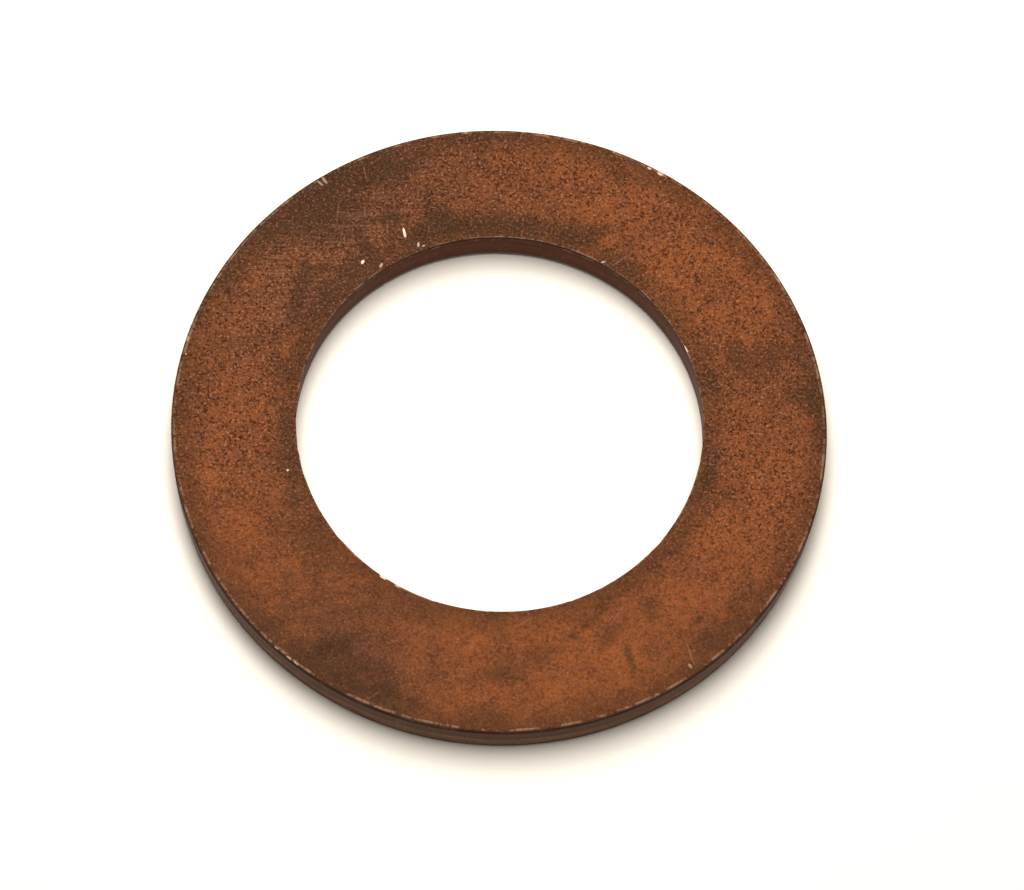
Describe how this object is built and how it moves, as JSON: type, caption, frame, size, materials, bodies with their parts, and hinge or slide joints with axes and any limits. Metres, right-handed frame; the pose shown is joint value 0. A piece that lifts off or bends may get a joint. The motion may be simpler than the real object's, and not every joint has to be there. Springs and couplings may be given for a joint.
{
  "type": "flat washer",
  "caption": "Plain flat copper washer with a round bore, blanked from sheet, tarnished brown, for spreading a bolt's load or sealing under its head.",
  "frame": {"origin": "middle of the bore in the plane of the underside", "axes": "+Z along the bore axis, from the underside, where the hole's edge is rounded, to the top face, where the rim's edge is rounded; +X and +Y are free, because the ring is round"},
  "size_m": [0.021, 0.021, 0.0015],
  "materials": {
    "tarnished_copper": "matte, tarnished brown"
  },
  "bodies": {
    "root": {"flat_washer": "tarnished_copper"}
  },
  "joints": []
}
